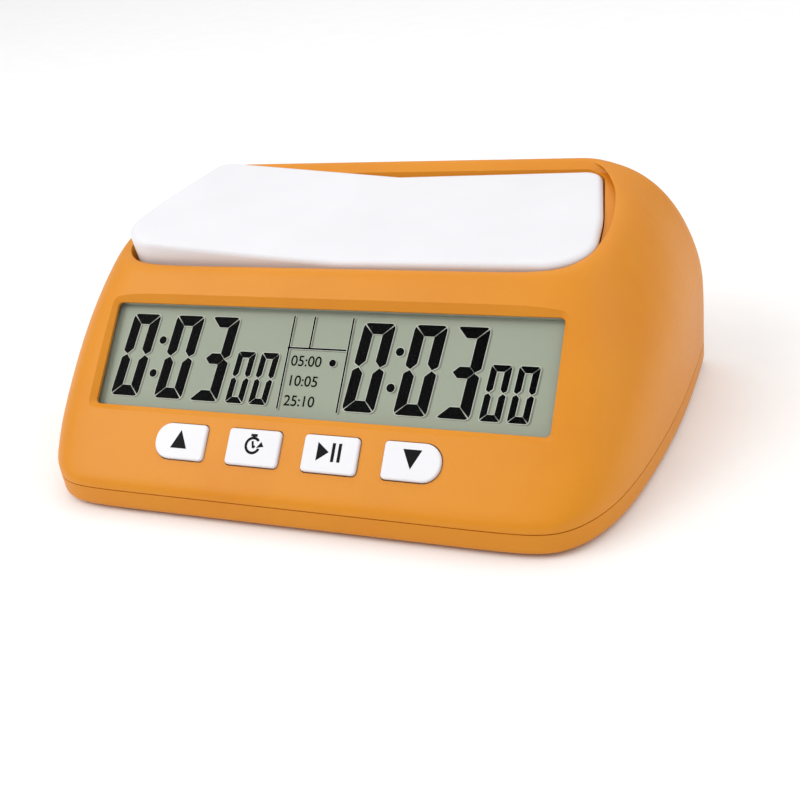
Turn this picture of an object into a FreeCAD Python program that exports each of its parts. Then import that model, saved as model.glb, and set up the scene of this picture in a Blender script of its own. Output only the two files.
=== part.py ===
"""Digital chess clock: a sloped two-shell housing with a see-saw rocker, an LCD, four keys and an AA cell.

Row frame: X to the right as seen from the front, Y to the back, Z up. The origin is the centre of the
footprint on the surface that the clock stands on. Millimetres.
"""
import FreeCAD, Part
import math
import os
from FreeCAD import Placement, Rotation, Vector

DOC = FreeCAD.newDocument("chess_clock")

# ---------------------------------------------------------------- driving dimensions
SIZES = {
    "body_width": 153.0,
    "body_depth": 93.0,
    "foot_height": 0.8,
    "foot_radius": 5.0,
    "foot_thickness": 1.6,
    "seam_height": 6.4,
    "seam_groove": 0.25,
    "cover_edge": 2.2,
    "wall": 2.2,
    "face_extra": 0.6,
    "floor_thickness": 2.0,
    "face_slope": 45.0,
    "face_start": 8.1,
    "rim_front": 46.5,
    "rim_slope": 9.0,
    "dome_crown": 54.4,
    "dome_flat": 50.4,
    "dome_shoulder_radius": 22.6,
    "dome_shoulder_turn": 55.8,
    "dome_flank_radius": 46.4,
    "side_bow_radius": 288.0,
    "widest_y": 25.7,
    "recess_width": 116.8,
    "recess_height": 29.3,
    "recess_centre": 32.7,
    "recess_depth": 1.5,
    "view_width": 112.9,
    "view_height": 26.0,
    "view_centre": 32.4,
    "view_x": 0.35,
    "window_gap": 0.2,
    "window_flange": 0.8,
    "gasket": 0.2,
    "glass_width": 115.0,
    "glass_height": 28.0,
    "glass_thickness": 1.1,
    "glass_ledge": 2.2,
    "glass_front": 3.6,
    "film_thickness": 0.2,
    "frame_width": 118.0,
    "frame_height": 30.2,
    "frame_front": 3.3,
    "frame_back": 6.9,
    "board_width": 114.0,
    "board_height": 40.0,
    "board_thickness": 1.6,
    "board_depth": 9.0,
    "board_centre": 27.6,
    "key_width": 13.2,
    "key_height": 8.4,
    "key_pitch": 19.1,
    "key_row_x": -0.3,
    "key_centre": 11.45,
    "key_proud": 0.8,
    "key_gap": 0.25,
    "key_flange": 1.1,
    "plunger_radius": 1.7,
    "switch_size": 6.2,
    "well_floor": 38.5,
    "well_floor_thickness": 1.6,
    "well_gap": 0.9,
    "rocker_wall": 1.8,
    "rocker_skirt": 41.5,
    "rocker_height": 47.4,
    "rocker_half_rise": 2.85,
    "rocker_incline": 6.4,
    "rocker_tilt": 2.25,
    "rocker_edge": 1.6,
    "rocker_flare": 8.0,
    "rocker_level": 48.5,
    "axle_height": 42.0,
    "axle_radius": 1.5,
    "axle_length": 36.0,
    "axle_clearance": 0.05,
    "prong_offset": 32.0,
    "prong_y": 14.0,
    "prong_radius": 2.0,
    "prong_end": 34.5,
    "cell_radius": 7.1,
    "cell_length": 49.0,
    "cell_y": 24.0,
    "cell_z": 10.3,
    "door_half_width": 31.0,
    "door_front": 15.0,
    "door_length": 31.3,
    "door_thickness": 1.6,
    "screw_shank": 1.4,
    "screw_head": 2.7,
    "small_shank": 1.0,
    "small_head": 1.9,
    "pilot_clear": 1.15,
    "column_radius": 3.3,
    "column_height": 36.0,
    "front_column_height": 11.0,
    "hanger_radius": 2.4,
    "boss_radius": 2.6,
    "lip_thickness": 1.2,
    "lip_top": 7.5,
    "buzzer_radius": 10.0,
    "buzzer_thickness": 0.6,
    "lead_radius": 0.6,
    "thin_lead_radius": 0.45,
}

sheet = DOC.addObject("Spreadsheet::Sheet", "Dims")
for row, (alias, value) in enumerate(SIZES.items(), start=1):
    sheet.set("A%d" % row, alias)
    sheet.set("B%d" % row, str(value))
    sheet.setAlias("B%d" % row, alias)
DOC.recompute()


class Dim:
    """The driving dimensions as plain numbers, for places and for shapes made in code."""


for alias, value in SIZES.items():
    setattr(Dim, alias, value)

NODES = {}
LINK = "<<Dims>>."


def bind(obj, prop, formula):
    """Binds a property to the sheet. A formula names cells as {cell}; a plain number is set as it is."""
    if isinstance(formula, str):
        obj.setExpression(prop, formula.replace("{", LINK).replace("}", ""))
    else:
        setattr(obj, prop, formula)


def number(formula):
    """What a formula comes to, for working out a place."""
    if isinstance(formula, str):
        return float(sheet.evalExpression(formula.replace("{", "").replace("}", "")))
    return formula


def node(obj, label):
    """Makes an object a sub-part of its own, exported under its label."""
    obj.Label = label
    NODES[label] = obj
    return obj


def box(size, corner, name="Block"):
    """A block with its low corner at a point or placement."""
    obj = DOC.addObject("Part::Box", name)
    for prop, formula in zip(("Length", "Width", "Height"), size):
        bind(obj, prop, formula)
    obj.Placement = corner if isinstance(corner, Placement) else Placement(Vector(*corner), Rotation())
    return obj


def rod(radius, length, base, name="Rod"):
    """A cylinder from a point or placement, along its own Z."""
    obj = DOC.addObject("Part::Cylinder", name)
    bind(obj, "Radius", radius)
    bind(obj, "Height", length)
    obj.Placement = base if isinstance(base, Placement) else Placement(Vector(*base), Rotation())
    return obj


def cone(low_radius, high_radius, length, base, name="Taper"):
    obj = DOC.addObject("Part::Cone", name)
    bind(obj, "Radius1", low_radius)
    bind(obj, "Radius2", high_radius)
    bind(obj, "Height", length)
    obj.Placement = base if isinstance(base, Placement) else Placement(Vector(*base), Rotation())
    return obj


def fuse(objects, name="Union"):
    obj = DOC.addObject("Part::MultiFuse", name)
    obj.Shapes = list(objects)
    return obj


def group(objects, name="Group"):
    """Separate solids kept as one object."""
    obj = DOC.addObject("Part::Compound", name)
    obj.Links = list(objects)
    return obj


def common(objects, name="Overlap"):
    obj = DOC.addObject("Part::MultiCommon", name)
    obj.Shapes = list(objects)
    return obj


def cut(base, tools, name="Trimmed"):
    """Takes tools that may touch each other out of base, one after another."""
    for tool in tools:
        obj = DOC.addObject("Part::Cut", name)
        obj.Base = base
        obj.Tool = tool
        base = obj
    return base


def made(shape, name, place=None):
    """A Part::Feature for a shape that neither sketches nor primitives fit."""
    obj = DOC.addObject("Part::Feature", name)
    obj.Shape = shape
    if place is not None:
        obj.Placement = place
    return obj


def fillet(base, radius, chosen, name="Rounded"):
    """Rounds the edges of base for which chosen(edge) is true."""
    DOC.recompute()
    picks = [i for i, edge in enumerate(base.Shape.Edges, start=1) if chosen(edge)]
    if not picks:
        raise RuntimeError("no edge to round on " + base.Name)
    obj = DOC.addObject("Part::Fillet", name)
    obj.Base = base
    obj.Edges = [(i, radius, radius) for i in picks]
    return obj


def rounded_outline(corners):
    """A closed wire of straight runs and tangent arcs through (x, y, radius) corners, at z 0."""
    edges, ends = [], []
    count = len(corners)
    for i, (x, y, radius) in enumerate(corners):
        here = Vector(x, y, 0)
        before = Vector(*corners[i - 1][:2], 0)
        after = Vector(*corners[(i + 1) % count][:2], 0)
        to_before = (before - here).normalize()
        to_after = (after - here).normalize()
        half = to_before.getAngle(to_after) / 2
        if radius <= 0:
            ends.append((here, here, None))
            continue
        reach = radius / math.tan(half)
        middle = (to_before + to_after).normalize()
        top = here + middle * (radius / math.sin(half) - radius)
        ends.append((here + to_before * reach, here + to_after * reach, top))
    for i, (start, end, top) in enumerate(ends):
        if top is not None:
            edges.append(Part.Arc(start, top, end).toShape())
        following = ends[(i + 1) % count][0]
        if end.distanceToPoint(following) > 1e-6:
            edges.append(Part.LineSegment(end, following).toShape())
    return Part.Wire(edges)


def prism(corners, low, high):
    """A vertical prism on a rounded outline, as a shape."""
    face = Part.Face(rounded_outline(corners))
    face.translate(Vector(0, 0, low))
    return face.extrude(Vector(0, 0, high - low))


def mirrored(corners):
    """A right-hand half outline, front to back, closed by its mirror image on the left."""
    return list(corners) + [(-x, y, r) for x, y, r in reversed(corners)]


# ---------------------------------------------------------------- frames of reference
HALF_WIDTH = Dim.body_width / 2
FRONT = -Dim.body_depth / 2
BACK = Dim.body_depth / 2
SLOPE = math.radians(Dim.face_slope)
FACE = Placement(Vector(0, FRONT, Dim.face_start), Rotation(Vector(1, 0, 0), Dim.face_slope))
UPRIGHT_Y = Rotation(Vector(1, 0, 0), -90)
UPRIGHT_X = Rotation(Vector(0, 1, 0), 90)


def on_face(x, up, out, turn=None):
    """A placement in the sloped face's own frame: across, up the slope, and out of it."""
    return FACE.multiply(Placement(Vector(x, up, out), turn or Rotation()))


def face_y(z):
    """Where the sloped face's plane stands at a height."""
    return FRONT + (z - Dim.face_start) / math.tan(SLOPE)


# ---------------------------------------------------------------- the housing's outer form
def dome_half_width(z):
    """Half-width of the housing at a height: a flat crown, a tight shoulder arc, then a flank arc."""
    shoulder, flank = Dim.dome_shoulder_radius, Dim.dome_flank_radius
    turn = math.radians(Dim.dome_shoulder_turn)
    shoulder_z = Dim.dome_crown - shoulder
    join_x = Dim.dome_flat + shoulder * math.sin(turn)
    join_z = shoulder_z + shoulder * math.cos(turn)
    flank_x = join_x - flank * math.sin(turn)
    flank_z = join_z - flank * math.cos(turn)
    if z >= join_z:
        return Dim.dome_flat + math.sqrt(max(0.0, shoulder**2 - (z - shoulder_z) ** 2))
    return min(HALF_WIDTH, flank_x + math.sqrt(flank**2 - max(0.0, z - flank_z) ** 2))


def rim_rise(y):
    """How far the rim has climbed above its front edge."""
    rim_start = face_y(Dim.rim_front)
    return max(0.0, y - rim_start) * math.tan(math.radians(Dim.rim_slope))


def ring(level, tilt, softness, inset=(0.0, 0.0, 0.0)):
    """Control points once round the housing: a level at the front, tilted with the rim towards the back.

    softness widens the front corner; inset moves the front, side and back inwards.
    """
    front = max(FRONT, face_y(level)) + inset[0]
    back = BACK - inset[2]

    def side(y, extra=0.0):
        z = level + tilt * rim_rise(y)
        bow = (y - Dim.widest_y) ** 2 / (2 * Dim.side_bow_radius)
        return Vector(dome_half_width(z) - bow - inset[1] + extra, y, z)

    depth = min(29.5 + 4.0 * softness, 0.75 * (back - front))
    corner_x = side(front).x - 16.7 - 1.2 * softness
    points = [Vector(share * corner_x, front, level) for share in (0.0, 0.4, 0.75, 1.0)]
    points += [
        side(front + 0.03 * depth, -7.2 - 1.8 * softness),
        side(front + 0.24 * depth, -2.6 - 1.9 * softness),
        side(front + 0.54 * depth, -0.4 - 0.9 * softness),
        side(front + depth, 0.3),
    ]
    reach = back - (front + depth)
    points += [side(front + depth + share * reach, 0.5) for share in (0.35, 0.65)]
    points += [side(back - 5.0, 0.9), side(back, 1.1)]
    corner = points[-1]
    points += [Vector(corner.x - 5.0, back, corner.z)]
    points += [Vector(share * corner.x, back, corner.z) for share in (0.6, 0.3, 0.0)]
    left = [Vector(-p.x, p.y, p.z) for p in points[1:-1]]
    return list(reversed(points)) + left + [points[-1]]


RINGS = [
    ring(Dim.seam_height, 0.0, 0.0),
    ring(Dim.seam_height + 1.0, 0.0, 0.0),
    ring(8.6, 0.0, -0.2),
    ring(10.6, 0.0, -0.2),
    ring(14.5, 0.0, -0.15),
    ring(20.5, 0.0, 0.35),
    ring(28.0, 0.0, 0.95),
    ring(35.0, 0.3, 1.0),
    ring(40.5, 0.6, 0.95),
    ring(43.8, 0.9, 0.85),
    ring(45.6, 1.0, 0.8),
    ring(46.5, 1.0, 0.7, (0.5, 0.9, 0.9)),
    ring(46.1, 1.0, 0.7, (3.1, 2.2, 2.6)),
    ring(44.5, 1.0, 0.6, (5.5, 3.9, 5.2)),
]


def clamped_knots(count, degree):
    """Knots and multiplicities of a clamped, evenly spaced B-spline."""
    spans = count - degree
    return [i / spans for i in range(spans + 1)], [degree + 1] + [1] * (spans - 1) + [degree + 1]


def outer_skin(rings):
    """One smooth surface through the rings' control net."""
    round_knots, round_mults = clamped_knots(len(rings[0]), 3)
    up_knots, up_mults = clamped_knots(len(rings), 3)
    surface = Part.BSplineSurface()
    surface.buildFromPolesMultsKnots(rings, up_mults, round_mults, up_knots, round_knots, False, False, 3, 3)
    return surface


def closed_form(rings, seam_z, rim_z):
    """A skin closed below by its level seam and above by a face across its last ring."""
    skin = outer_skin(rings).toShape()
    level = [e for e in skin.Edges if e.BoundBox.ZMax < seam_z + 0.1]
    inner = [e for e in skin.Edges if e.BoundBox.ZMin > rim_z and e.isClosed()]
    shell = Part.makeShell([skin, Part.Face(Part.Wire(level[:1])), Part.makeFilledFace(inner[:1])])
    shell.sewShape()
    solid = Part.Solid(shell)
    solid.fix(1e-4, 1e-4, 1e-3)
    if solid.Volume < 0:
        solid.reverse()
    return solid


def inner_rings(wall):
    """Rings a wall's thickness inside the outer skin, from below the seam to the rim's solid band."""
    inset = ((wall + Dim.face_extra) / math.sin(SLOPE), wall, wall)
    levels = [(Dim.seam_height - 2.0, 0.0, 0.0)]
    levels += [(8.6, 0.0, -0.2), (10.6, 0.0, -0.2), (14.5, 0.0, -0.15), (20.5, 0.0, 0.35)]
    levels += [(28.0, 0.0, 0.95), (35.0, 0.0, 1.1), (39.0, 0.0, 1.1), (41.0, 0.0, 1.1)]
    return [ring(level, tilt, softness, inset) for level, tilt, softness in levels]


def seam_prism(inset, low, high):
    """A vertical prism on the seam outline, moved inwards by (front, side, back)."""
    poles = ring(Dim.seam_height, 0.0, 0.0, inset)
    knots, mults = clamped_knots(len(poles), 3)
    curve = Part.BSplineCurve()
    curve.buildFromPolesMultsKnots(poles, mults, knots, False, 3)
    face = Part.Face(Part.Wire([curve.toShape()]))
    face.translate(Vector(0, 0, low - Dim.seam_height))
    return face.extrude(Vector(0, 0, high - low))


def cover_rings(low, high, edge):
    """Rings of the bottom cover: the seam outline carried down to a rounded lower edge."""
    steps = [(low, edge), (low, 0.4 * edge), (low + 0.35 * edge, 0.0)]
    steps += [(low + edge, 0.0), (high - 0.8, 0.0), (high, 0.0)]
    rings = []
    for z, inset in steps:
        points = ring(Dim.seam_height, 0.0, 0.0, (inset, inset, inset))
        rings.append([Vector(p.x, p.y, z) for p in points])
    return rings


def rectangle(width, height, radius, centre=(0.0, 0.0)):
    """Corners of a rounded rectangle."""
    x, y = centre
    half_w, half_h = width / 2, height / 2
    signs = ((-1, -1), (1, -1), (1, 1), (-1, 1))
    return [(x + i * half_w, y + j * half_h, radius) for i, j in signs]


def rocker_outline(gap):
    """The rocker seen from above, grown by a gap: broad at the front, narrower at the back."""
    front = (60.6 + gap, -5.0 - gap, 10.0 + gap)
    middle = (58.0 + gap, 17.0, 60.0)
    back = (52.4 + gap, 40.6 + gap, 4.5 + gap)
    return mirrored([front, middle, back])


def flared(gap, low, high):
    """A solid between two heights on the rocker's outline, which widens upwards."""
    wires = []
    for z in (low, high):
        spread = (z - Dim.rocker_level) * math.tan(math.radians(Dim.rocker_flare))
        wires.append(rounded_outline(rocker_outline(spread + gap)))
        wires[-1].translate(Vector(0, 0, z))
    return Part.makeLoft(wires, True, True)


def face_plate(label, width, height, centre, front, thickness, name="Plate"):
    """A plate parallel to the sloped face, its front a given depth below it."""
    place = on_face(-number(width) / 2, centre - number(height) / 2, -front - number(thickness))
    plate = box((width, height, thickness), place, name)
    return node(plate, label) if label else plate


def face_solid(corners, low, high, name):
    """A prism on an outline in the face's frame, between two heights out of the face."""
    return made(prism(corners, low, high), name, FACE)


def key_outline(index, grow=0.0):
    """A key's outline: the outer ends of the first and last keys are half round."""
    x = key_x(index)
    half_w, half_h = Dim.key_width / 2 + grow, Dim.key_height / 2 + grow
    soft, half_round = 1.0 + grow, half_h - 0.2
    left = half_round if index == 0 else soft
    right = half_round if index == 3 else soft
    low, high = Dim.key_centre - half_h, Dim.key_centre + half_h
    start, end = x - half_w, x + half_w
    return [(start, low, left), (end, low, right), (end, high, right), (start, high, left)]


def key_x(index):
    return Dim.key_row_x + (index - 1.5) * Dim.key_pitch


def tube(points, radius, bend=3.0):
    """A lead: straight runs joined by tangent arcs, swept with a round section."""
    corners = [Vector(*point) for point in points]
    edges, last = [], corners[0]
    for before, here, after in zip(corners, corners[1:], corners[2:]):
        back, ahead = (before - here).normalize(), (after - here).normalize()
        half = back.getAngle(ahead) / 2
        reach = bend / math.tan(half)
        start, end = here + back * reach, here + ahead * reach
        top = here + (back + ahead).normalize() * (bend / math.sin(half) - bend)
        edges += [Part.LineSegment(last, start).toShape(), Part.Arc(start, top, end).toShape()]
        last = end
    edges.append(Part.LineSegment(last, corners[-1]).toShape())
    path = Part.Wire(edges)
    section = Part.Wire([Part.makeCircle(radius, corners[0], corners[1] - corners[0])])
    return made(path.makePipeShell([section], True, False), "Lead")


# ---------------------------------------------------------------- places shared by several pieces
BASE_SCREWS = [(-62.0, 33.0), (62.0, 33.0), (-62.4, -29.4), (62.4, -29.4)]
FEET = [(-46.0, -34.0), (46.0, -34.0), (-62.0, 20.0), (62.0, 20.0)]
FRAME_LUGS = [(-50.0, 14.6), (50.0, 14.6)]
BOARD_POSTS = [(-54.0, 20.5), (54.0, 20.5), (-54.0, 44.6), (54.0, 44.6)]
SWITCH_POSTS = [(-40.0, 14.0), (0.0, 14.0), (40.0, 14.0)]
AXLE_POSTS = [2.0, 31.0]
ROCKER_LUGS = [5.6, 27.4]
COLUMN_FOOT = Dim.seam_height + 0.6
BUZZER = (44.0, -4.0)
BOARD_BACK = Dim.board_depth + Dim.board_thickness
SWITCH_BOARD_TOP = 29.0
LUG_BACK = 6.3
LUG_THICKNESS = 1.6
SMALL_SCREW = ("{small_shank}", "{small_head}")
LEAD_Y = {-1: 21.0, 1: 24.0}
LEAD_Z = {-1: 14.5, 1: 15.95}


# ---------------------------------------------------------------- upper housing
def pillar(radius, bore, length, depth, base):
    """A post with a screw hole in its foot."""
    place = base if isinstance(base, Placement) else Placement(Vector(*base), Rotation())
    hole = rod(bore, depth + 1.0, place.multiply(Placement(Vector(0, 0, -1.0), Rotation())), "Pilot")
    return cut(rod(radius, length, place, "Post"), [hole], "Pillar")


def housing():
    form = made(closed_form(RINGS, Dim.seam_height, Dim.rim_front - 6.0), "Form")
    cavity = made(closed_form(inner_rings(Dim.wall), Dim.seam_height - 2.0, 38.0), "Cavity")
    underside = Dim.well_floor - Dim.well_floor_thickness
    well_block = made(prism(rocker_outline(Dim.well_gap + 1.6), underside, 60.0), "WellBlock")
    hollow = cut(cavity, [well_block], "Hollow")
    well = made(flared(Dim.well_gap, Dim.well_floor, 60.0), "Well")
    slope_out = 1.0
    flare = (Dim.recess_width - Dim.view_width) / 2 / Dim.recess_depth * slope_out
    centre = (Dim.view_x, Dim.recess_centre)
    outer = rectangle(Dim.recess_width + 2 * flare, Dim.recess_height + 2 * flare, 2.6, centre)
    inner = rectangle(Dim.view_width, Dim.view_height, 1.2, (Dim.view_x, Dim.view_centre))
    top_wire, low_wire = rounded_outline(outer), rounded_outline(inner)
    top_wire.translate(Vector(0, 0, slope_out))
    low_wire.translate(Vector(0, 0, -Dim.recess_depth))
    recess = made(Part.makeLoft([low_wire, top_wire], True, True), "Recess", FACE)
    view = face_solid(inner, -3.0, 0.0, "View")
    seat_corners = rectangle(Dim.frame_width + 0.8, Dim.frame_height + 0.8, 4.0, (0, Dim.view_centre))
    seat = face_solid(seat_corners, -Dim.wall - 5.2, -Dim.wall, "Seat")
    key_holes = [face_solid(key_outline(i, Dim.key_gap), -3.0, 4.0, "KeyHole") for i in range(4)]
    key_seat = face_plate(None, 4 * Dim.key_pitch, 14.0, Dim.key_centre + 0.4, Dim.wall, 3.0, "KeySeat")
    key_seat.Placement = on_face(Dim.key_row_x - 2 * Dim.key_pitch, Dim.key_centre - 6.6, -Dim.wall - 3.0)
    seats = fuse([seat, key_seat], "Seats")
    prong_places = [(side * Dim.prong_offset, Dim.prong_y, 34.6) for side in (-1, 1)]
    prong_holes = [rod(3.0, 6.0, place, "ProngHole") for place in prong_places]
    shell = cut(form, [hollow, seats, well] + prong_holes + [recess, view] + key_holes, "Shell")

    columns = []
    for x, y in BASE_SCREWS:
        height = "{column_height}" if y > 0 else "{front_column_height}"
        columns.append(pillar("{column_radius}", "{screw_shank}", height, 8.5, (x, y, COLUMN_FOOT)))
    hanger_length = underside + 0.2 - SWITCH_BOARD_TOP
    hangers = [
        pillar("{hanger_radius}", "{small_shank}", hanger_length, 5.5, (x, y, SWITCH_BOARD_TOP))
        for x, y in SWITCH_POSTS
    ]
    posts = []
    for y in AXLE_POSTS:
        block = box((8.0, 3.0, 5.2), (-4.0, y, Dim.well_floor - 0.2), "AxlePost")
        mouth = box((2.4, 3.2, 4.0), (-1.2, y - 0.1, Dim.axle_height), "Mouth")
        bore = rod("{axle_radius}", 3.2, Placement(Vector(0, y - 0.1, Dim.axle_height), UPRIGHT_Y), "Seat")
        posts.append(cut(block, [mouth, bore], "AxleClip"))
    lug_front = LUG_BACK - LUG_THICKNESS
    boss_length = lug_front - Dim.wall + 0.2
    bosses = [
        pillar("{boss_radius}", "{small_shank}", boss_length, 2.3, on_face(x, up, -lug_front))
        for x, up in FRAME_LUGS
    ]
    return node(fuse([shell] + columns + hangers + posts + bosses, "UpperHousing"), "upper_housing")


# ---------------------------------------------------------------- bottom cover, door, feet and screws
def bottom_cover():
    low = Dim.foot_height
    top = Dim.seam_height - Dim.seam_groove
    rounded = made(closed_form(cover_rings(low, top, Dim.cover_edge), low, top - 0.5), "CoverOuter")
    wall = Dim.wall
    hollow = made(seam_prism((wall, wall, wall), low + Dim.floor_thickness, 12.0), "CoverHollow")
    tray = cut(rounded, [hollow], "Tray")
    lip_front = (wall + Dim.face_extra) / math.sin(SLOPE) + 0.8
    lip_side = wall + 0.3
    lip_out = made(seam_prism((lip_front, lip_side, lip_side), low + 1.6, Dim.lip_top), "LipOuter")
    inside_front, inside_side = lip_front + Dim.lip_thickness, lip_side + Dim.lip_thickness
    insets = (inside_front, inside_side, inside_side)
    lip_in = made(seam_prism(insets, low + 0.6, Dim.lip_top + 1.5), "LipInner")
    rim = cut(lip_out, [lip_in], "Lip")
    half, front = Dim.door_half_width, Dim.door_front
    compartment = box((66.0, 18.8, 18.6), (-33.0, 14.6, low), "CellBox")
    ramp = box((2 * half + 6.0, 31.0, 3.8), (-half - 3.0, front - 2.0, low), "DoorBed")
    pads = [rod(3.6, 6.1, (x, y, low), "Pad") for x, y in BASE_SCREWS]
    rests = [rod(Dim.foot_radius + 1.2, 2.6, (x, y, low), "FootPad") for x, y in FEET]
    inside = made(seam_prism((wall, wall, wall), low, 30.0), "CoverInside")
    extras = common([fuse([compartment, ramp] + pads + rests, "Extras"), inside], "Inside")
    whole = fuse([tray, rim, extras], "CoverWhole")

    gap = 0.15
    cell_room = box((62.0, 15.4, 17.4), (-31.0, Dim.cell_y - 7.7, low - 0.3), "CellRoom")
    door_room = (2 * (half + gap), 40.0, Dim.door_thickness + gap + 1.0)
    door_way = box(door_room, (-half - gap, front - gap, low - 1.0))
    rail_way = box((2 * (half + 1.0 + gap), 40.0, 0.9 + gap), (-half - 1.0 - gap, front - gap, low + 0.7))
    tools = [cell_room, door_way, rail_way]
    for x, y in BASE_SCREWS:
        tools += [rod(3.1, 4.6, (x, y, low - 1.0), "HeadRoom"), rod(1.6, 9.0, (x, y, low), "ShankRoom")]
        tools.append(rod(3.6, 3.0, (x, y, low + 6.1), "ColumnRoom"))
    foot_room = Dim.foot_thickness - low
    tools += [rod("{foot_radius}", foot_room + 1.0, (x, y, low - 1.0), "FootRoom") for x, y in FEET]
    for side in (-1, 1):
        hole_start = Placement(Vector(side * 32.0 - 2.0, LEAD_Y[side], LEAD_Z[side]), UPRIGHT_X)
        tools.append(rod("{lead_radius} + 0.3", 4.0, hole_start, "LeadHole"))
    for i in range(3):
        for j in range(3):
            place = (BUZZER[0] + 3.2 * (i - 1), BUZZER[1] + 3.2 * (j - 1), 0.0)
            tools.append(rod(0.9, 4.0, place, "SoundHole"))
    return node(cut(whole, tools, "BottomCover"), "bottom_cover")


def battery_door():
    half, front, low = Dim.door_half_width, Dim.door_front, Dim.foot_height
    plate_size = ("2 * {door_half_width}", "{door_length}", "{door_thickness}")
    plate = box(plate_size, (-half, front, low), "DoorPlate")
    rail_size = ("2 * {door_half_width} + 2", "{door_length} - 3", "{door_thickness} / 2")
    rails = box(rail_size, (-half - 1.0, front, low + 0.8), "DoorRails")
    body = fuse([plate, rails], "Door")
    rows = [front + 22.0 + 2.0 * i for i in range(4)]
    ribs = [box((20.0, 0.9, 0.5), (-10.0, y, low - 0.1), "GripGroove") for y in rows]
    return node(cut(body, ribs, "BatteryDoor"), "battery_door")


def rubber_feet():
    feet = [rod("{foot_radius}", "{foot_thickness}", (x, y, 0.0)) for x, y in FEET]
    return node(group(feet), "rubber_feet")


def screw(place, shank, head, length, head_height, drive):
    """A pan-head screw along its placement's Z, head first, with a cross drive."""
    top = rod(head, head_height, place, "ScrewHead")
    stem_place = place.multiply(Placement(Vector(0, 0, head_height - 0.1), Rotation()))
    stem = rod(shank, length, stem_place, "ScrewStem")
    slots = []
    for turn in (0.0, 90.0):
        offset = Placement(Vector(0, 0, -0.1), Rotation(Vector(0, 0, 1), turn))
        offset = offset.multiply(Placement(Vector(-drive, -0.25, 0), Rotation()))
        slots.append(box((2 * drive, 0.5, 0.8), place.multiply(offset), "Drive"))
    return cut(fuse([top, stem]), slots, "Screw")


def base_screws():
    seat = Dim.foot_height + 3.6 - 1.7
    places = [Placement(Vector(x, y, seat), Rotation()) for x, y in BASE_SCREWS]
    screws = [screw(place, "{screw_shank}", "{screw_head}", 10.0, 1.7, 1.6) for place in places]
    return node(group(screws), "base_screws")


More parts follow.
